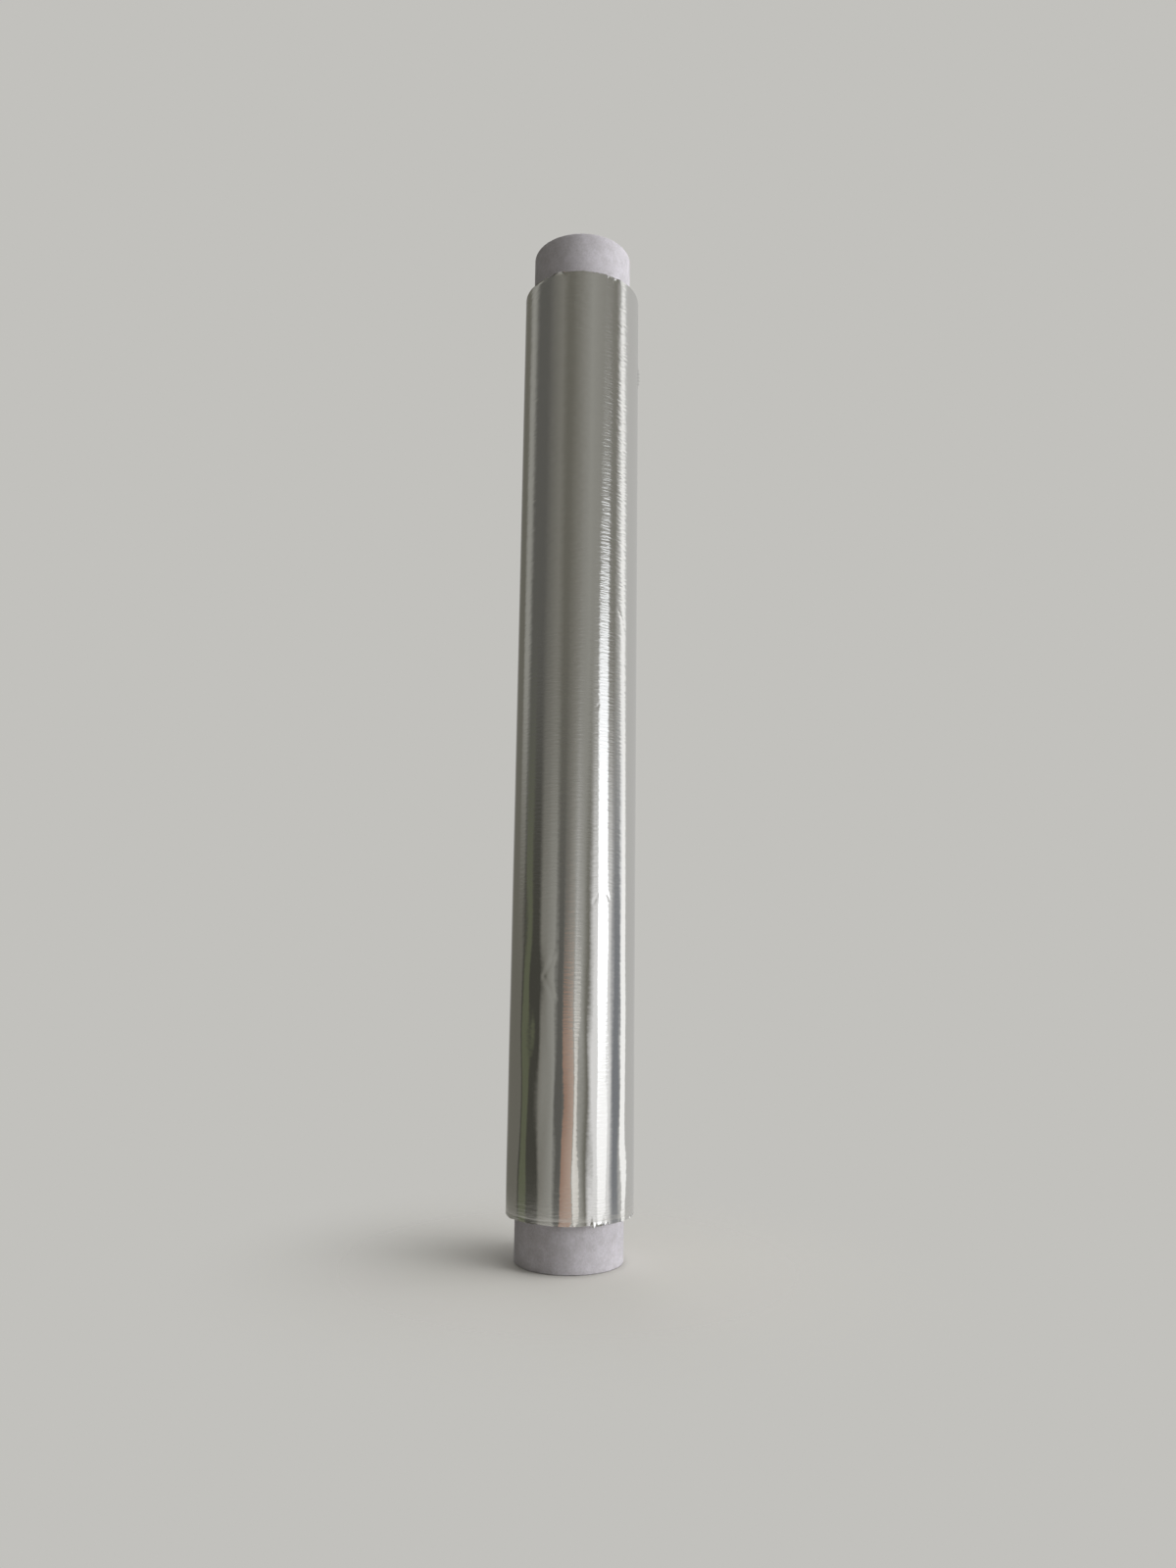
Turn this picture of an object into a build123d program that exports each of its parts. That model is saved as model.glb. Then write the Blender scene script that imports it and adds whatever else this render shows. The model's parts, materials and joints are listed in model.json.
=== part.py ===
"""Aluminium foil roll: a web of bright foil wound on a greyboard core that stands out at both ends.

Millimetres. The origin is the centre of the core's lower end, and +Z runs up the roll's axis.
The loose end of the web, the tail, lies along +X.
"""

import os

from build123d import *

# Core: a plain tube of wound greyboard
core_outer_diameter = 33.0
core_wall = 1.5
core_edge_bevel = 0.25  # the cut ends are slightly worn
bare_core_below = 14.0  # core that shows below the foil
bare_core_above = 16.0  # core that shows above the foil

# Foil: the whole wound web is one body
foil_width = 300.0
foil_build_up = 3.0  # all the turns together, measured from the core

# Turns: 0.011 mm foil can't be drawn to scale, so a few thick turns stand for some 270 thin ones
drawn_turns = 8
turn_gap = 0.12  # width of the line between two turns on the end faces
turn_gap_depth = 0.4

# Tail: torn off along a saw-tooth cutter
tooth_pitch = 1.25
tooth_depth = 1.0

core_radius = core_outer_diameter / 2
core_length = bare_core_below + foil_width + bare_core_above
foil_radius = core_radius + foil_build_up
foil_upper_end = bare_core_below + foil_width
turn_pitch = foil_build_up / drawn_turns
tail_foot = foil_radius - turn_pitch  # radius of the turn that the tail lies on
tooth_count = int(foil_width // tooth_pitch)


def half_turns(start_radius, turns, offset=0.0):
    """Arcs of a spiral that starts on +X, runs anticlockwise and gains one turn_pitch a turn.

    Each half turn is a half circle, and its centre hops to the other side of the axis.
    The offset moves every arc outwards by the same distance.
    """
    for half in range(2 * turns):
        side = -1 if half % 2 == 0 else 1
        radius = start_radius + turn_pitch / 4 + half * turn_pitch / 2 + offset
        CenterArc((side * turn_pitch / 4, 0), radius, 180 * (half % 2), 180)


# Core: tube with softened ends
with BuildPart() as core:
    with BuildSketch():
        Circle(core_radius)
        Circle(core_radius - core_wall, mode=Mode.SUBTRACT)
    extrude(amount=core_length)
    chamfer(core.edges().filter_by(GeomType.CIRCLE), length=core_edge_bevel)

# Foil roll: its section is the last turn's spiral outline around the core
with BuildPart() as foil_roll:
    with BuildSketch(Plane.XY.offset(bare_core_below)):
        with BuildLine():
            half_turns(tail_foot, turns=1)
            Line((foil_radius, 0), (tail_foot, 0))
        make_face()
        Circle(core_radius, mode=Mode.SUBTRACT)
    extrude(amount=foil_width)

    # Lines between the turns, sunk into both end faces and running out under the tail
    first_line = core_radius + turn_pitch
    for end_height, inwards in ((bare_core_below, 1), (foil_upper_end, -1)):
        with BuildSketch(Plane.XY.offset(end_height)):
            with BuildLine():
                half_turns(first_line, turns=drawn_turns - 2)
                half_turns(first_line, turns=drawn_turns - 2, offset=turn_gap)
                Line((first_line, 0), (first_line + turn_gap, 0))
                Line((tail_foot, 0), (tail_foot + turn_gap, 0))
            make_face()
        extrude(amount=inwards * turn_gap_depth, mode=Mode.SUBTRACT)

    # Saw-tooth edge along the tail, cut through the outermost turn only
    tail_plane = Plane(
        origin=(tail_foot, 0, bare_core_below + foil_width / 2),
        x_dir=(0, 1, 0),
        z_dir=(1, 0, 0),
    )
    with BuildSketch(tail_plane):
        with GridLocations(0, tooth_pitch, 1, tooth_count):
            Polygon(
                (0, -tooth_pitch / 2),
                (0, tooth_pitch / 2),
                (-tooth_depth, 0),
                align=None,
            )
    extrude(amount=2 * turn_pitch, mode=Mode.SUBTRACT)

core.part.label = "core"
foil_roll.part.label = "foil_roll"

os.makedirs("parts", exist_ok=True)
export_step(core.part, "parts/core.step")
export_step(foil_roll.part, "parts/foil_roll.step")
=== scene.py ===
import json
import math

import bmesh
import bpy
import numpy as np
from mathutils import Matrix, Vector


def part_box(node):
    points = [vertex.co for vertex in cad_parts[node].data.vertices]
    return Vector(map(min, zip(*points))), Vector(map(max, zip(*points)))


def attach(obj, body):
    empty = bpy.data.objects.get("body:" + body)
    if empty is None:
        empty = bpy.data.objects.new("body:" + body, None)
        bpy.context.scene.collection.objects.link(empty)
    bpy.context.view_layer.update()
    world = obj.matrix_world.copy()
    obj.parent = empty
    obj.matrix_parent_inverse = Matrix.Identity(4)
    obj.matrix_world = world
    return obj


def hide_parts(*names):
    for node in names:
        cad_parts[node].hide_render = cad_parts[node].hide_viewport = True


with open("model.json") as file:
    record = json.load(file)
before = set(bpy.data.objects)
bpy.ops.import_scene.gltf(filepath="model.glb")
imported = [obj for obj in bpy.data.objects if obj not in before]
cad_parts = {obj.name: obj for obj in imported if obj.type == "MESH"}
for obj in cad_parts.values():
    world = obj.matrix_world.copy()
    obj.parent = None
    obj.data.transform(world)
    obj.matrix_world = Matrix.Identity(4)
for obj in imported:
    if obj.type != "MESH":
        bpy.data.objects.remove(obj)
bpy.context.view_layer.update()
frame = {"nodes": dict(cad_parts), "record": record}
mm = 0.001
fullTurn = 2 * math.pi
scene = bpy.context.scene

# sizes from the frame, in metres
mounts = {mount["name"]: mount for mount in frame["record"]["mounts"]}
coreInner = mounts["core_bore"]["dims"]["r_mm"] * mm
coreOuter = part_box("core")[1].x
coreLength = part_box("core")[1].z
foilBottom, foilTop = (corner.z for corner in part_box("foil_roll"))
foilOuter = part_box("foil_roll")[1].x
print("frame loaded:", sorted(frame["nodes"]))


# small helpers

def linearColour(hexText):  # sRGB hex to linear RGB by the sRGB curve, with alpha 1
    channels = np.array([int(hexText[start:start + 2], 16) for start in (1, 3, 5)]) / 255
    linear = np.where(channels <= 0.04045, channels / 12.92, ((channels + 0.055) / 1.055) ** 2.4)
    return (*linear.tolist(), 1.0)


def addNode(tree, kind, settings=None, values=None, links=None):  # one node with its settings and links
    node = tree.nodes.new(kind)
    for key, value in (settings or {}).items():
        setattr(node, key, value)
    for socket, value in (values or {}).items():
        node.inputs[socket].default_value = value
    for socket, source in (links or {}).items():
        tree.links.new(source, node.inputs[socket])
    return node


def newMaterial(name):  # an empty material with its output node
    material = bpy.data.materials.new(name)
    material.use_nodes = True
    material.node_tree.nodes.clear()
    return material, material.node_tree, addNode(material.node_tree, "ShaderNodeOutputMaterial")


def newPiece(name, points, faces, sharpAngle, material):  # points and faces to a smooth-shaded object
    mesh = bpy.data.meshes.new(name)
    mesh.from_pydata(points.reshape(-1, 3), [], faces)
    shell = bmesh.new()
    shell.from_mesh(mesh)
    bmesh.ops.recalc_face_normals(shell, faces=shell.faces)
    if shell.calc_volume(signed=True) < 0:  # alike, but all pointing inwards
        bmesh.ops.reverse_faces(shell, faces=shell.faces)
    shell.to_mesh(mesh)
    shell.free()
    mesh.polygons.foreach_set("use_smooth", np.ones(len(mesh.polygons), bool))
    mesh.set_sharp_from_angle(angle=math.radians(sharpAngle))
    mesh.materials.append(material)
    piece = bpy.data.objects.new(name, mesh)
    scene.collection.objects.link(piece)
    return piece


def turned(angle, radius, height):
    # points about the axis: x = radius * cos(angle), y = radius * sin(angle), z = height
    axes = np.broadcast_arrays(radius * np.cos(angle), radius * np.sin(angle), height)
    return np.stack(axes, axis=-1)


def numbered(points, start=0):  # the points' numbers, in a grid like theirs
    grid = points.shape[:-1]
    return start + np.arange(math.prod(grid)).reshape(grid)


def quads(grid):  # faces of an open grid of point numbers
    corners = [grid[:-1, :-1], grid[1:, :-1], grid[1:, 1:], grid[:-1, 1:]]
    return np.stack(corners, axis=-1).reshape(-1, 4).tolist()


def giveMap(piece, web):  # puts each point's place on the flat web into the piece's UV map
    mesh = piece.data
    corners = np.empty(len(mesh.loops), np.int32)
    mesh.loops.foreach_get("vertex_index", corners)
    mesh.uv_layers.new(name="web").uv.foreach_set("vector", web[corners].astype(np.float32).ravel())


def smoothStep(low, high, values):  # 0 below low, 1 above high, a cubic between
    share = np.clip((values - low) / (high - low), 0, 1)
    return share * share * (3 - 2 * share)


def turnsFrom(angle, degrees):  # the shorter way round from an angle given in degrees, in radians
    return (angle - math.radians(degrees) + math.pi) % fullTurn - math.pi


def waves(positions, seed, count, longest, shortest):
    # a sum of cosines with random phases, about 1 high. The lengths of the waves are given in mm
    rng = np.random.RandomState(seed)
    lengths = np.geomspace(longest * mm, shortest * mm, count)
    phases = rng.uniform(0, fullTurn, count)
    weights = (lengths / lengths[0]) ** 0.5
    total = np.cos(positions[..., None] / lengths * fullTurn + phases) @ weights
    return total / np.sqrt((weights ** 2).sum() / 2) / 2


# core: greyboard, wound and cut. Matt and dry, a cool light grey, mottled by its pulp
# and rough at the cut ends

core = {
    "columns": 220,  # round the tube
    "sharpAngle": 50,  # degrees, steeper edges stay crisp
    "edgeRound": 0.28,  # mm, worn corners of the cut ends
    "edgeRows": 5,
    "bareRows": 14,  # rows on each bare end
    "capRings": 8,
    "boreRows": 36,
    "outOfRound": (0.05, 3, 2),  # mm, lobes round the tube, and radians of twist from end to end
    "ragged": 0.09,  # mm, saw marks along the cut ends
    "sawMarks": (47, 31, 89),  # marks round an end: two that beat together, and finer ones
    "fineMarks": 0.6,  # strength of the finer ones
    "unmarked": 0.15,  # where the marks are weaker than this, the end stays flat
    "plies": 3,
    "plyRelief": 0.07,  # mm, board plies on the cut faces
    "grey": "#c9c6cd",
    "darkGrey": "#b2afb3",
    "mottle": 3.0,  # mm, clouds in the pulp
    "fibre": 0.6,  # mm, single fibres, drawn as coarse as they show
    "fibreDepth": 0.03,  # mm
    "pulpRange": (0.7, 1.28),  # clouds and fibres added up, at the dark grey and at the grey
    "roughness": 0.85,
    "shine": 0.3,  # specular level
}


def greyboard():
    material, tree, output = newMaterial("woundGreyboard")
    place = addNode(tree, "ShaderNodeTexCoord")
    clouds = addNode(tree, "ShaderNodeTexNoise", values={
        "Scale": 1 / (core["mottle"] * mm), "Detail": 4.0, "Roughness": 0.6,
    }, links={"Vector": place.outputs["Object"]})
    fibres = addNode(tree, "ShaderNodeTexNoise", values={
        "Scale": 1 / (core["fibre"] * mm), "Detail": 3.0, "Roughness": 0.7,
    }, links={"Vector": place.outputs["Object"]})
    shade = addNode(tree, "ShaderNodeMath", {"operation": "ADD"}, links={
        0: clouds.outputs["Fac"], 1: fibres.outputs["Fac"],
    })
    darkest, lightest = core["pulpRange"]
    spread = addNode(tree, "ShaderNodeMapRange", values={
        "From Min": darkest, "From Max": lightest,
    }, links={"Value": shade.outputs[0]})
    tint = addNode(tree, "ShaderNodeMix", {"data_type": "RGBA"}, {
        6: linearColour(core["darkGrey"]), 7: linearColour(core["grey"]),
    }, {"Factor": spread.outputs[0]})
    bump = addNode(tree, "ShaderNodeBump", values={
        "Strength": 1.0, "Distance": core["fibreDepth"] * mm,
    }, links={"Height": fibres.outputs["Fac"]})
    board = addNode(tree, "ShaderNodeBsdfPrincipled", values={
        "Roughness": core["roughness"], "Specular IOR Level": core["shine"],
    }, links={"Base Color": tint.outputs[2], "Normal": bump.outputs[0]})
    tree.links.new(board.outputs[0], output.inputs["Surface"])
    return material


def coreSection():
    # radius and height along the wall's section: a rectangle with quarter circles at its corners,
    # from the foot of the outside up, across the top, down the bore and back
    bevel = core["edgeRound"] * mm
    quarter = np.linspace(0, math.pi / 2, core["edgeRows"])
    sideRows = np.concatenate([
        np.linspace(bevel, foilBottom, core["bareRows"])[1:],
        np.linspace(foilTop, coreLength - bevel, core["bareRows"])[:-1],
    ])
    capRows = np.linspace(coreOuter - bevel, coreInner + bevel, core["capRings"])[1:-1]
    crowded = np.cos(np.linspace(0, math.pi, core["boreRows"])[1:-1])  # rows crowd towards both ends
    boreRows = coreLength / 2 + (coreLength / 2 - bevel) * crowded
    radius = np.concatenate([
        coreOuter - bevel + bevel * np.sin(quarter),
        np.full(len(sideRows), coreOuter),
        coreOuter - bevel + bevel * np.cos(quarter),
        capRows,
        coreInner + bevel - bevel * np.sin(quarter),
        np.full(len(boreRows), coreInner),
        coreInner + bevel - bevel * np.cos(quarter),
        capRows[::-1],
    ])
    height = np.concatenate([
        bevel - bevel * np.cos(quarter),
        sideRows,
        coreLength - bevel + bevel * np.sin(quarter),
        np.full(len(capRows), coreLength),
        coreLength - bevel + bevel * np.cos(quarter),
        boreRows,
        bevel - bevel * np.sin(quarter),
        np.zeros(len(capRows)),
    ])
    return radius[:, None], height[:, None]


def coreTube():
    # the wall's section is turned about the axis, slightly out of round by a cosine round the tube. Both
    # cut ends are sunk by saw marks, cosines round the tube, and by the plies, a cosine across the wall
    radius, height = coreSection()
    angle = np.linspace(0, fullTurn, core["columns"], endpoint=False)[None, :]
    depth, lobes, twist = core["outOfRound"]
    wobble = depth * mm * np.cos(lobes * angle + height / coreLength * twist)
    first, second, fine = core["sawMarks"]
    marks = np.cos(angle * first) * np.cos(angle * second + 1)
    marks = marks + core["fineMarks"] * np.cos(angle * fine + 2)
    plies = np.cos((radius - coreInner) / (coreOuter - coreInner) * core["plies"] * fullTurn)
    sawn = core["ragged"] * mm * (0.5 + 0.25 * marks)  # never quite none, never quite full
    sunk = sawn + core["plyRelief"] * mm * (0.5 + 0.5 * plies)
    marked = np.abs(marks) > core["unmarked"]
    onCut = np.minimum(height, coreLength - height) < core["edgeRound"] * mm
    inwards = np.where(height < coreLength / 2, 1, -1)
    points = turned(angle, radius + wobble, height + inwards * onCut * sunk * marked)
    closed = np.pad(numbered(points), ((0, 1), (0, 1)), mode="wrap")
    return newPiece("core_tube", points, quads(closed), core["sharpAngle"], greyboard())


coreTubePiece = coreTube()
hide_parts("core")
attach(coreTubePiece, "root")
print("core tube:", len(coreTubePiece.data.polygons), "faces")


# foil: bright side of rolled aluminium. Rolling lines run round the roll, so every reflection is
# drawn out along the axis, and a fine grain makes highlights sparkle where they fade

foil = {
    "columns": 240,  # round the roll
    "sharpAngle": 40,  # degrees, steeper edges stay crisp
    "crowding": (-80.0, 0.4),  # degrees where columns are closest, and how much closer
    "rowStep": 1.25,  # mm up the roll, one tooth of the tail
    "rimRows": (0.0, 0.12, 0.3, 0.6, 0.9, 1.1),  # mm from each rim
    "creaseReach": 3.2,  # mm above and below a crease where rows are closer
    "creaseRows": 3,  # rows to a tooth there
    "tailStep": 0.25,  # mm, how far the tail stands above the turn under it
    "tailReach": 8.0,  # degrees of loose tail
    "tailColumns": 4,
    "toothDepth": 1.0,  # mm
    "tailLift": 0.04,  # mm
    "tailUnder": 0.01,  # mm between the tail's underside and the turn below
    "underLift": 0.9,  # how much of the tail's height its underside has at the edge
    "liftedTeeth": (287.0, 3.4, 0.75),  # mm: height, half length and lift of the teeth that curl up
    "ringsPerTurn": 2,  # on the end faces
    "turnLine": 0.12,  # mm, depth of the lines between turns on the end faces
    "turnCrown": 0.02,  # mm, how far a turn's own edge lies below the rim
    "turnShiver": 0.03,  # mm, unevenness of the turns' edges
    "turnWaves": (6, 25, 2),  # its waves: how many, and mm of the longest and of the shortest
    "turnSeed": 21,
    "ridges": (0.3, 1.8),  # degrees, slope of the long ridges at the top and at the bottom
    "ridgeZone": (40, 180),  # mm, where the ridges grow
    "ridgeCounts": (5, 7, 9, 12, 16, 21, 27, 34, 55),  # ridges round the roll
    "ridgeShare": 0.5,  # share of the slope that each count gets
    "ridgeSeed": 7,
    # how ridges vary up the roll: how far, and the least and the most mm to a radian of that swing.
    # wander and ripple, which is only low down, go from side to side, in radians of the ridge's own wave
    "wander": (0.5, 30, 90),
    "ripple": (0.9, 4.5, 11.0),
    "swell": (0.4, 30, 80),  # in height
    "lean": 6,  # radians of the ridge's own wave to each metre up, at most
    "metal": "#ececea",
    "rollingLine": 0.35,  # mm, drawn as coarse as it shows
    "rollingReach": 14.0,  # mm along the lines
    "rollingDepth": 0.0015,  # mm
    "grain": (0.72, 3.6),  # mm across and along the rolling lines, drawn as coarse as it shows
    "grainDepth": 0.072,  # mm
    "grainEase": (150.0, 222.0, 0.4),  # mm up the roll where it eases off, and the share left below
    "roughness": 0.11,
    # dents: angle in degrees, height, half width, half height and depth in mm
    "dents": [
        (-123, 83, 2.6, 7, 0.12),
        (-131, 66, 2.2, 9, 0.22),
        (-114, 88, 1.8, 5, -0.06),
        (-140, 100, 2.4, 12, 0.15),
        (-97, 48, 2.0, 10, 0.08),
    ],
    # creases: angle in degrees, height and length in mm, tilt in degrees, half width and depth in mm
    "creases": [
        (-111, 87.5, 8.5, 61, 0.7, 0.06),
        (-111, 81.2, 8.0, -62, 0.7, 0.06),
        (-44, 197, 7, -58, 0.5, 0.04),
        (-70, 231.6, 2, 50, 0.4, 0.03),
        (-72, 211.5, 2.5, 60, 0.4, 0.03),
        (-70, 167, 2, 50, 0.4, 0.03),
        (-70, 107.6, 3.5, 65, 0.4, 0.04),
        (-58, 108.7, 3.0, -60, 0.4, 0.04),
        (-136, 279, 12, 0, 1.2, 0.05),
    ],
    # rim damage: top or bottom, angle and half width in degrees, then mm out, up and over which it fades
    "rims": [
        ("top", -113, 6.5, 0.55, 0.1, 0.4),
        ("top", -138, 12.0, -0.35, 0.12, 0.6),
        ("top", -64, 1.1, 0.35, -0.7, 0.6),
        ("top", -60, 0.9, -0.15, -0.5, 0.6),
        ("top", -56.5, 1.2, 0.45, -0.7, 0.6),
        ("top", -78, 0.8, 0.1, -0.35, 0.5),
        ("top", -73, 0.8, 0.25, -0.3, 0.5),
        ("bottom", -69, 1.3, 0.45, -0.6, 0.6),
        ("bottom", -63, 4.0, 0.35, -0.05, 0.5),
        ("bottom", -56, 1.2, 0.1, 0.5, 0.6),
        ("bottom", -22, 1.2, 0.35, -0.1, 0.5),
        ("bottom", -14, 1.0, 0.35, 0.2, 0.6),
    ],
    # waves along the rims: mm high, how many, and mm of the longest and of the shortest
    "rimUp": (0.10, 7, 18, 1.4),  # up and down
    "rimOut": (0.07, 7, 11, 1.6),  # outwards
    "rimSeeds": {"bottom": (3, 13), "top": (4, 14)},  # up and out
    "rimFade": 0.5,  # mm over which the waves fade
    "rimLine": (1.1, 0.02, 0.1),  # mm: a faint line above the bottom rim, its depth and half width
}

tailReach = math.radians(foil["tailReach"])
turnStep = foil["tailStep"] * mm
footRadius = foilOuter - turnStep  # of the turn that the tail lies on


def brightFoil():
    material, tree, output = newMaterial("brightRolledAluminium")
    web = addNode(tree, "ShaderNodeUVMap", {"uv_map": "web"})
    lineSize = addNode(tree, "ShaderNodeMapping", values={
        "Scale": (1 / (foil["rollingLine"] * mm), 1 / (foil["rollingReach"] * mm), 1),
    }, links={"Vector": web.outputs[0]})
    lines = addNode(tree, "ShaderNodeTexNoise", {"noise_dimensions": "2D"}, values={
        "Scale": 1.0, "Detail": 2.0,
    }, links={"Vector": lineSize.outputs[0]})
    lineBump = addNode(tree, "ShaderNodeBump", values={
        "Strength": 1.0, "Distance": foil["rollingDepth"] * mm,
    }, links={"Height": lines.outputs["Fac"]})
    grainAcross, grainAlong = foil["grain"]
    grainSize = addNode(tree, "ShaderNodeMapping", values={
        "Scale": (1 / (grainAcross * mm), 1 / (grainAlong * mm), 1),
    }, links={"Vector": web.outputs[0]})
    grain = addNode(tree, "ShaderNodeTexNoise", {"noise_dimensions": "2D"}, values={
        "Scale": 1.0, "Detail": 1.0,
    }, links={"Vector": grainSize.outputs[0]})
    easeLow, easeHigh, easeShare = foil["grainEase"]
    webAxes = addNode(tree, "ShaderNodeSeparateXYZ", links={0: web.outputs[0]})
    ease = addNode(tree, "ShaderNodeMapRange", values={
        "From Min": easeLow * mm, "From Max": easeHigh * mm, "To Min": easeShare,
    }, links={"Value": webAxes.outputs["X"]})
    grainBump = addNode(tree, "ShaderNodeBump", values={
        "Distance": foil["grainDepth"] * mm,
    }, links={
        "Strength": ease.outputs[0], "Height": grain.outputs["Fac"], "Normal": lineBump.outputs[0],
    })
    across = addNode(tree, "ShaderNodeTangent", {"direction_type": "UV_MAP", "uv_map": "web"})
    metal = addNode(tree, "ShaderNodeBsdfPrincipled", values={
        "Base Color": linearColour(foil["metal"]),
        "Metallic": 1.0,
        "Roughness": foil["roughness"],
        "Anisotropic": 1.0,
    }, links={"Normal": grainBump.outputs[0], "Tangent": across.outputs[0]})
    tree.links.new(metal.outputs[0], output.inputs["Surface"])
    return material


def foilRidges(angle, rise):
    # metres in or out: a sum of cosines round the roll. Up the roll each leans in a straight line,
    # and wanders, ripples and swells as sines of height
    relief = np.zeros(np.broadcast(angle, rise).shape)
    rng = np.random.RandomState(foil["ridgeSeed"])
    anyPhase = (0, 6)  # radians, nearly a full turn
    topSlope, bottomSlope = np.radians(foil["ridges"])
    zoneLow, zoneHigh = foil["ridgeZone"]
    low = 1 - smoothStep(zoneLow * mm, zoneHigh * mm, rise)
    slope = topSlope + (bottomSlope - topSlope) * low
    wanderSize, wanderLeast, wanderMost = foil["wander"]
    rippleSize, rippleLeast, rippleMost = foil["ripple"]
    swellSize, swellLeast, swellMost = foil["swell"]
    for count in foil["ridgeCounts"]:
        swing = rise / rng.uniform(wanderLeast * mm, wanderMost * mm) + rng.uniform(*anyPhase)
        wander = wanderSize * np.sin(swing)
        swing = rise / (rng.uniform(rippleLeast, rippleMost) * mm) + rng.uniform(*anyPhase)
        wander = wander + rippleSize * low * np.sin(swing)
        drift = rng.uniform(-foil["lean"], foil["lean"]) * rise
        swing = rise / rng.uniform(swellLeast * mm, swellMost * mm) + rng.uniform(*anyPhase)
        strength = 1 - swellSize + swellSize * np.sin(swing)
        depth = slope * foilOuter / count * foil["ridgeShare"]
        relief += depth * strength * np.cos(count * angle + rng.uniform(*anyPhase) + wander + drift)
    return relief


def foilRelief(angle, rise):
    # metres in or out of the smooth roll: long ridges, dents as bell curves, and creases as short
    # straight grooves with a bell-shaped section
    relief = foilRidges(angle, rise)
    for at, height, halfWide, halfHigh, depth in foil["dents"]:
        side = foilOuter * turnsFrom(angle, at) / (halfWide * mm)
        up = (rise - height * mm) / (halfHigh * mm)
        relief -= depth * mm * np.exp(-side ** 2 - up ** 2)
    for at, height, length, tilt, halfWide, depth in foil["creases"]:
        side = foilOuter * turnsFrom(angle, at)
        up = rise - height * mm
        lean = math.radians(tilt)
        along = (side * math.cos(lean) + up * math.sin(lean)) / (length / 2 * mm)
        across = (up * math.cos(lean) - side * math.sin(lean)) / (halfWide * mm)
        relief -= depth * mm * np.exp(-across ** 2 - along ** 4)
    return relief


def foilRims(angle, rise):
    # near each rim the web is nicked, curled and uneven: metres out and metres up, as waves and as
    # flat-topped bell curves round the roll, both fading exponentially away from the rim
    out = np.zeros(np.broadcast(angle, rise).shape)
    up = np.zeros_like(out)
    rims = {"bottom": foilBottom, "top": foilTop}
    arc = angle * foilOuter
    upSize, *upWaves = foil["rimUp"]
    outSize, *outWaves = foil["rimOut"]
    for name, (upSeed, outSeed) in foil["rimSeeds"].items():
        near = np.exp(-np.abs(rise - rims[name]) / (foil["rimFade"] * mm))
        up += near * upSize * mm * waves(arc, upSeed, *upWaves)
        out += near * outSize * mm * np.maximum(waves(arc, outSeed, *outWaves), 0)
    for name, at, halfWide, outwards, upwards, fade in foil["rims"]:
        near = np.exp(-np.abs(rise - rims[name]) / (fade * mm))
        share = np.exp(-(turnsFrom(angle, at) / math.radians(halfWide)) ** 4)
        out += near * share * outwards * mm
        up += near * share * upwards * mm
    lineRise, lineDepth, lineWide = foil["rimLine"]
    out -= lineDepth * mm * np.exp(-((rise - foilBottom - lineRise * mm) / (lineWide * mm)) ** 2)
    return out, up


def foilPoints(angle, rise, radius):  # angle, height and radius to points, with relief and rim damage
    settle = smoothStep(-tailReach, tailReach, angle)  # the turn under the tail lies smooth
    out, up = foilRims(angle, rise)
    return turned(angle, radius + settle * foilRelief(angle, rise) + out, rise + up)


def foilRows():  # heights of the rows: one to a tooth, closer at the rims and across creases
    rowStep = foil["rowStep"] * mm
    teeth = np.arange(1, int((foilTop - foilBottom) / rowStep + 0.5)) * rowStep + foilBottom
    rim = np.array(foil["rimRows"]) * mm
    creases = np.array([height for at, height, *size in foil["creases"]]) * mm
    away = np.abs(teeth[:, None] + rowStep / 2 - creases)
    creased = (away < foil["creaseReach"] * mm).any(axis=1)
    closer = foil["creaseRows"]
    between = (teeth[creased][:, None] + rowStep * np.arange(1, closer) / closer).ravel()
    return np.sort(np.concatenate([foilBottom + rim, teeth, between, foilTop - rim]))


def foilColumns():
    # angles once round, crowded by a sine, less its value at the start: even - crowd * sin(even - centre),
    # and the spiral's radius there: foot + step * turns
    even = np.linspace(-tailReach, fullTurn - tailReach, foil["columns"] + 1)
    degrees, crowd = foil["crowding"]
    centre = math.radians(degrees)
    turn = even - crowd * (np.sin(even - centre) - math.sin(-tailReach - centre))
    return turn, footRadius + turnStep * (turn + tailReach) / fullTurn


def foilTail(rise, root):
    # angles and radii of the loose tail, out from its root and back underneath. Its edge is a triangle
    # wave, one tooth to each step up the roll, and it lifts with the square of the distance from the root
    columns = foil["tailColumns"]
    tooth = np.abs((rise - foilBottom) / (foil["rowStep"] * mm) % 1 - 0.5) * 2
    edge = fullTurn - tooth * foil["toothDepth"] * mm / foilOuter
    liftHeight, liftReach, liftAmount = foil["liftedTeeth"]
    curl = np.exp(-((rise - liftHeight * mm) / (liftReach * mm)) ** 4) * liftAmount * (1 - tooth)
    share = np.arange(1, columns + 1)[:, None] / columns
    radius = foilOuter + (foil["tailLift"] + curl) * mm * share ** 2
    under = share[:-1][::-1]
    underRise = (radius[-1] - footRadius) * under ** 2 * foil["underLift"]
    underRadius = footRadius + foil["tailUnder"] * mm + underRise
    angle = root + np.concatenate([share, under]) * (edge - root)
    return angle, np.concatenate([radius, underRadius])


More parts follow.
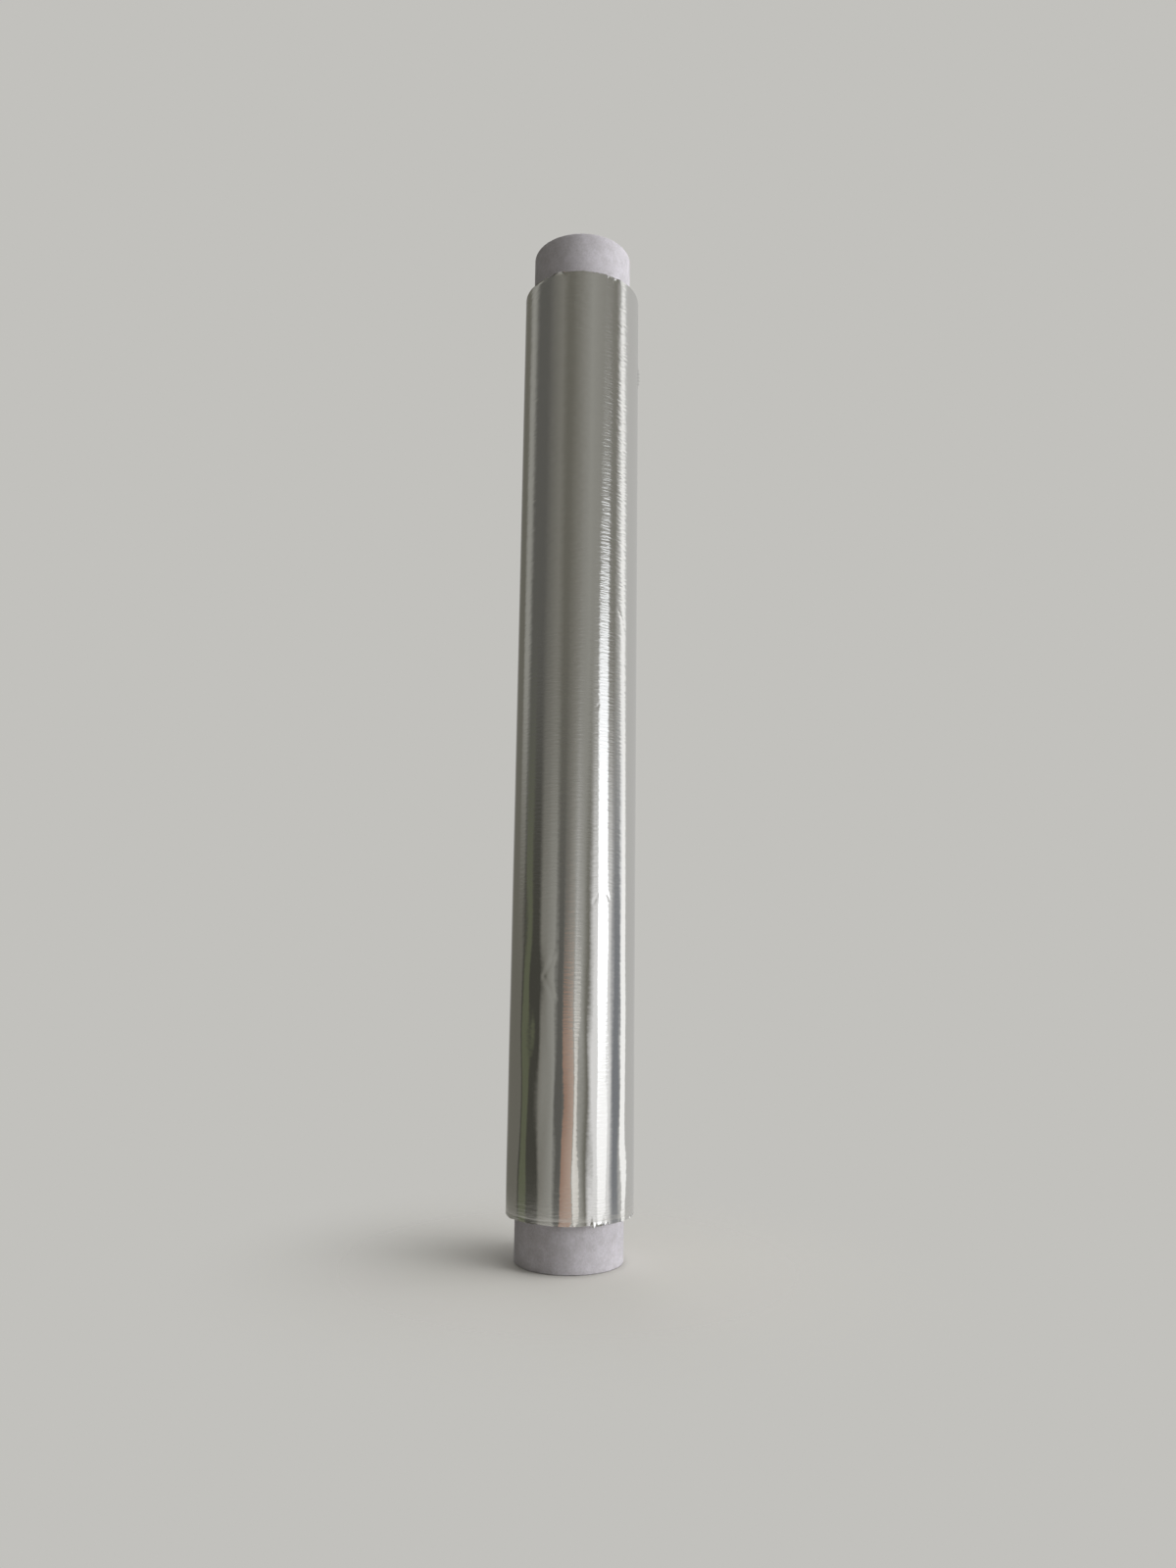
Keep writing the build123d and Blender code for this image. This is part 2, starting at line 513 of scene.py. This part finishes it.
def foilEnds(turn, spiral):
    # angles, radii and depths of the rings on an end face. They follow the spiral inwards to the core,
    # and every last ring of a turn is sunk as a turn line
    perTurn = foil["ringsPerTurn"]
    rings = int((footRadius - coreOuter) / (turnStep / perTurn)) - 1
    number = np.arange(1, rings + 2)[:, None]
    radius = spiral[None, :-1] - number * turnStep / perTurn
    radius[-1] = coreOuter
    angle = turn[None, :-1] + 0 * radius
    sink = np.where(number % perTurn == 0, foil["turnLine"], foil["turnCrown"]) * mm
    along = angle * foilOuter + number * foilOuter * fullTurn / perTurn
    shiver = waves(along, foil["turnSeed"], *foil["turnWaves"]) * foil["turnShiver"] * mm
    return angle, radius, sink + shiver


def foilJoints(fine, coarse):  # five-sided faces from a fine column to a coarse one
    return np.stack([fine[0:-1:2], fine[1::2], fine[2::2], coarse[1:], coarse[:-1]], axis=-1).tolist()


def foilFaces(first, side, root, tail, ends):
    # faces between the blocks of point numbers: once round, the tail, both end faces and the bore
    perTurn = foil["ringsPerTurn"]
    faces = quads(side) + foilJoints(first, side[0]) + foilJoints(root[::-1], side[-1][::-1])
    faces += quads(np.concatenate([root[None], tail, first[None]]))
    bore = []
    for row, rings, stub in ends:
        last = len(rings) - 1
        rim = np.array([first[row], *side[:, row]])
        spiral = np.concatenate([rim[None], rings])
        rootRings = np.array([root[row], *stub])
        faces += quads(spiral)
        # the last column runs on one turn further in, so the rings join up as one spiral
        onwards = np.concatenate([rootRings, spiral[:last + 1 - perTurn, 0]])
        faces += quads(np.stack([spiral[:last + 1, -1], onwards], axis=-1))
        faces.append([*spiral[last:, -1], *spiral[last - perTurn:, 0][::-1]])
        faces.append([*rootRings[::-1], *tail[:, row], first[row]])  # the tail's own end
        bore.append(np.append(rings[-1], rings[-1, 0]))
    return faces + quads(np.stack(bore))


def foilRoll():
    # a spiral from under the tail, once round and on to the tail's saw-tooth edge. The end faces carry it
    # inwards to the core, and the last turn's edge closes under the tail
    rise = foilRows()
    fineRise = np.empty(2 * len(rise) - 1)  # with a middle row between each two, for the teeth
    fineRise[0::2] = rise
    fineRise[1::2] = (rise[1:] + rise[:-1]) / 2
    turn, spiral = foilColumns()
    tailAngle, tailRadius = foilTail(fineRise, turn[-1])
    faceAngle, faceRadius, faceDepth = foilEnds(turn, spiral)
    perTurn = foil["ringsPerTurn"]
    stubRadius = spiral[-1] - np.arange(1, perTurn) * turnStep / perTurn  # the tail root's own rings
    crown = foil["turnCrown"] * mm

    # blocks of points, each with its angle and with its height on the flat web, where the end faces
    # fold outwards
    onRoll = [
        (turn[0], fineRise, spiral[0]),  # under the tail
        (turn[1:-1, None], rise, spiral[1:-1, None]),  # once round
        (turn[-1], fineRise, spiral[-1]),  # the tail's root
        (tailAngle, fineRise, tailRadius),
    ]
    blocks = [(angle, height, foilPoints(angle, height, radius)) for angle, height, radius in onRoll]
    for end, inwards in ((foilBottom, 1), (foilTop, -1)):
        folded = end - inwards * (spiral[None, :-1] - faceRadius)
        blocks.append((faceAngle, folded, turned(faceAngle, faceRadius, end + inwards * faceDepth)))
        stub = turned(turn[-1], stubRadius, end + inwards * crown)
        blocks.append((turn[-1], np.full(perTurn - 1, end), stub))

    ids = []
    points = []
    web = []
    start = 0
    for angle, height, block in blocks:
        ids.append(numbered(block, start))
        points.append(block.reshape(-1, 3))
        web.append(np.stack(np.broadcast_arrays(height, angle * foilOuter), axis=-1).reshape(-1, 2))
        start += ids[-1].size
    first, side, root, tail, lowRings, lowStub, highRings, highStub = ids
    faces = foilFaces(first, side, root, tail, ((0, lowRings, lowStub), (-1, highRings, highStub)))
    piece = newPiece("foil_web", np.concatenate(points), faces, foil["sharpAngle"], brightFoil())
    giveMap(piece, np.concatenate(web))
    return piece


foilPiece = foilRoll()
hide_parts("foil_roll")
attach(foilPiece, "root")
print("foil:", len(foilPiece.data.polygons), "faces")


# stage: a pale table top that fades into a plain pale backdrop. Round the roll, out of the camera's
# sight, stand a grey screen and softboxes for the metal to mirror

stage = {
    "tableGrey": "#bdbbb7",
    "tableFade": (0.0, 0.12),  # m from the roll, where the table top melts into the backdrop
    "tableRings": 24,
    "tableColumns": 96,
    "backdrop": "#c2c1bd",
    "screen": (1.1, -1.2, 1.6),  # m: radius, low edge and high edge
    "screenColumns": 96,
    "screenBlend": (0.15, 0.46),  # m, height over which the lower bands give way to the upper
    "sharpAngle": 30,  # degrees, steeper edges stay crisp
    "tones": {
        "deep": "#43423c", "dark": "#5c5b57", "shade": "#69675f", "mid": "#7a7871", "pale": "#94938d",
        "light": "#b4b3b0", "edge": "#bbbab8", "bright": "#e4e3e3", "green": "#5e614f", "cool": "#7c7e82",
    },
    # the screen's broad bands: degrees round from the camera, + to the right, and the tone there
    "upperBands": [
        (-180, "edge"), (-150, "shade"), (-126, "shade"), (-118, "pale"), (-107, "pale"), (-96, "dark"),
        (-70, "dark"), (-40, "mid"), (-26, "shade"), (-18, "shade"), (-3, "mid"), (22, "pale"),
        (76, "mid"), (86, "light"), (100, "edge"), (180, "edge"),
    ],
    "lowerBands": [
        (-180, "edge"), (-150, "shade"), (-107, "shade"), (-101, "deep"), (-96, "green"), (-82, "green"),
        (-77, "deep"), (-67, "deep"), (-58, "mid"), (-34, "pale"), (-27, "dark"), (-17, "dark"),
        (1, "pale"), (8, "light"), (17, "pale"), (29, "shade"), (38, "bright"), (70, "bright"),
        (81, "cool"), (96, "cool"), (102, "edge"), (180, "edge"),
    ],
    # softboxes: degrees round, m away, low edge, high edge and width in m, degrees of lean, radiance, tint
    "softboxes": {
        "frontSoftbox": (54, 0.9, 0.0, 0.53, 0.30, 12, 0.86, "#f6f9ff"),
        "upperSoftbox": (54, 0.9, 0.50, 0.78, 0.20, 12, 0.05, "#ffffff"),
        "lowSoftbox": (57.5, 0.9, -0.40, 0.0, 0.22, 12, 0.3, "#ffffff"),
        "sideSoftbox": (100.7, 0.9, -0.35, 0.98, 0.21, 17, 0.52, "#ffffff"),
        "warmSoftbox": (-5.5, 0.9, -0.5, 0.05, 0.26, 0, 0.16, "#ff9a56"),
        "creamSoftbox": (8.5, 0.9, -0.5, 0.03, 0.13, 0, 0.32, "#fff8ef"),
    },
    # softboxes the metal doesn't mirror: degrees round, degrees up, m away, m across, radiance
    "mattSoftboxes": {
        "keySoftbox": (72, 14, 0.95, 0.4, 11.0),
        "topSoftbox": (72, 75, 1.2, 0.5, 9.5),
        "backSoftbox": (190, 8, 0.95, 0.4, 7.0),
    },
    "mattTint": "#ffffff",
}


def paleTableMaterial():  # matt near the roll, so that it takes the shadow, and clear further out
    material, tree, output = newMaterial("paleMattTable")
    place = addNode(tree, "ShaderNodeTexCoord")
    distance = addNode(tree, "ShaderNodeVectorMath", {"operation": "LENGTH"}, links={
        0: place.outputs["Object"],
    })
    near, far = stage["tableFade"]
    fade = addNode(tree, "ShaderNodeMapRange", {"interpolation_type": "SMOOTHSTEP"}, values={
        "From Min": near, "From Max": far,
    }, links={"Value": distance.outputs["Value"]})
    matt = addNode(tree, "ShaderNodeBsdfDiffuse", values={"Color": linearColour(stage["tableGrey"])})
    clear = addNode(tree, "ShaderNodeBsdfTransparent")
    mix = addNode(tree, "ShaderNodeMixShader", links={
        0: fade.outputs[0], 1: matt.outputs[0], 2: clear.outputs[0],
    })
    tree.links.new(mix.outputs[0], output.inputs["Surface"])
    return material


def paleTable():  # a disc of rings about the axis
    radius = np.linspace(0, stage["tableFade"][1], stage["tableRings"] + 1)[1:, None]
    angle = np.linspace(0, fullTurn, stage["tableColumns"], endpoint=False)[None, :]
    points = turned(angle, radius, 0.0)
    ids = numbered(points)
    faces = quads(np.pad(ids, ((0, 0), (0, 1)), mode="wrap")) + [ids[0].tolist()]
    return newPiece("pale_table", points, faces, stage["sharpAngle"], paleTableMaterial())


def screenMaterial():
    # flat painted tones, as bright as written: bands round the roll, one set low down and one set high up
    material, tree, output = newMaterial("paintedStudioScreen")
    place = addNode(tree, "ShaderNodeTexCoord")
    axes = addNode(tree, "ShaderNodeSeparateXYZ", links={0: place.outputs["Object"]})
    towards = addNode(tree, "ShaderNodeMath", {"operation": "MULTIPLY"}, {1: -1.0}, {0: axes.outputs["Y"]})
    around = addNode(tree, "ShaderNodeMath", {"operation": "ARCTAN2"}, links={
        0: axes.outputs["X"], 1: towards.outputs[0],
    })
    share = addNode(tree, "ShaderNodeMapRange", values={
        "From Min": -math.pi, "From Max": math.pi,
    }, links={"Value": around.outputs[0]})
    paints = []
    for bands in (stage["lowerBands"], stage["upperBands"]):
        ramp = addNode(tree, "ShaderNodeValToRGB", links={0: share.outputs[0]})
        paints.append(ramp.outputs[0])
        marks = ramp.color_ramp.elements
        for degrees, tone in bands[1:-1]:
            marks.new((degrees + 180) / 360).color = linearColour(stage["tones"][tone])
        marks[0].color = linearColour(stage["tones"][bands[0][1]])
        marks[-1].color = linearColour(stage["tones"][bands[-1][1]])
    low, high = stage["screenBlend"]
    lift = addNode(tree, "ShaderNodeMapRange", values={
        "From Min": low, "From Max": high,
    }, links={"Value": axes.outputs["Z"]})
    paint = addNode(tree, "ShaderNodeMix", {"data_type": "RGBA"}, links={
        "Factor": lift.outputs[0], 6: paints[0], 7: paints[1],
    })
    glow = addNode(tree, "ShaderNodeEmission", links={"Color": paint.outputs[2]})
    tree.links.new(glow.outputs[0], output.inputs["Surface"])
    return material


def roomScreen():  # an upright ring about the axis
    radius, low, high = stage["screen"]
    angle = np.linspace(0, fullTurn, stage["screenColumns"], endpoint=False)[None, :]
    points = turned(angle, radius, np.array([[low], [high]]))
    faces = quads(np.pad(numbered(points), ((0, 0), (0, 1)), mode="wrap"))
    piece = newPiece("room_screen", points, faces, stage["sharpAngle"], screenMaterial())
    piece.visible_camera = False
    return piece


def plainBackdrop():  # one pale tone in every direction
    world = bpy.data.worlds.new("plainBackdrop")
    world.use_nodes = True
    tree = world.node_tree
    tree.nodes.clear()
    sky = addNode(tree, "ShaderNodeBackground", values={"Color": linearColour(stage["backdrop"])})
    addNode(tree, "ShaderNodeOutputWorld", links={"Surface": sky.outputs[0]})
    scene.world = world


def addSoftbox(name, width, height, radiance, tint, matrix):
    # an area lamp whose face has the given radiance: power = radiance * pi * area
    lamp = bpy.data.lights.new(name, "AREA")
    lamp.color = linearColour(tint)[:3]
    lamp.shape = "RECTANGLE"
    lamp.size = width
    lamp.size_y = height
    lamp.energy = radiance * math.pi * width * height
    softbox = bpy.data.objects.new(name, lamp)
    softbox.matrix_world = matrix
    softbox.visible_camera = False
    scene.collection.objects.link(softbox)
    return softbox


def lightStage():
    # each softbox faces the axis: the first set stands upright and leans in its own plane,
    # the second set is raised about the foot of the roll and hidden from the metal
    for name, values in stage["softboxes"].items():
        degrees, away, lowEdge, highEdge, width, lean, radiance, tint = values
        around = math.radians(degrees)
        matrix = Matrix.Translation((
            away * math.sin(around), -away * math.cos(around), (lowEdge + highEdge) / 2,
        ))
        matrix = matrix @ Matrix.Rotation(around, 4, "Z") @ Matrix.Rotation(math.pi / 2, 4, "X")
        matrix = matrix @ Matrix.Rotation(math.radians(lean), 4, "Z")
        addSoftbox(name, width, highEdge - lowEdge, radiance, tint, matrix)
    for name, (degrees, up, away, across, radiance) in stage["mattSoftboxes"].items():
        matrix = Matrix.Rotation(math.radians(degrees), 4, "Z")
        matrix = matrix @ Matrix.Rotation(math.radians(90 - up), 4, "X")
        matrix = matrix @ Matrix.Translation((0, 0, away))
        softbox = addSoftbox(name, across, across, radiance, stage["mattTint"], matrix)
        softbox.visible_glossy = False


paleTable()
roomScreen()
plainBackdrop()
lightStage()
print("stage set")


# camera: a phone's wide lens, found by fitting a pinhole camera to the roll's outlines

camera = {
    "place": (0.0, -346.6, 88.7),  # mm
    "lookUp": 9.308,  # degrees
    "turn": 0.682,  # degrees, to the left about the vertical
    "roll": 0.706,  # degrees
    "lens": 24.975,  # mm
    "frameWidth": 36.0,  # mm
    "nearest": 10.0,  # mm, nothing closer is drawn
}


def placeCamera():
    # the view is turned about the vertical, then tilted up, then rolled about its own line of sight
    data = bpy.data.cameras.new("camera")
    data.lens = camera["lens"]
    data.sensor_width = camera["frameWidth"]
    data.clip_start = camera["nearest"] * mm
    aimed = Matrix.Rotation(math.radians(camera["turn"]), 3, "Z")
    tilted = Matrix.Rotation(math.radians(-camera["lookUp"]), 3, "X")
    rolled = Matrix.Rotation(math.radians(camera["roll"]), 3, "Y")
    view = (rolled @ tilted @ aimed).transposed()  # columns are right, forward and up
    right, forward, up = view.col
    matrix = Matrix((right, up, -forward)).transposed().to_4x4()
    matrix.translation = [mm * value for value in camera["place"]]
    shooter = bpy.data.objects.new("camera", data)
    shooter.matrix_world = matrix
    scene.collection.objects.link(shooter)
    scene.camera = shooter


placeCamera()
scene.view_settings.view_transform = "Standard"
print("camera placed")
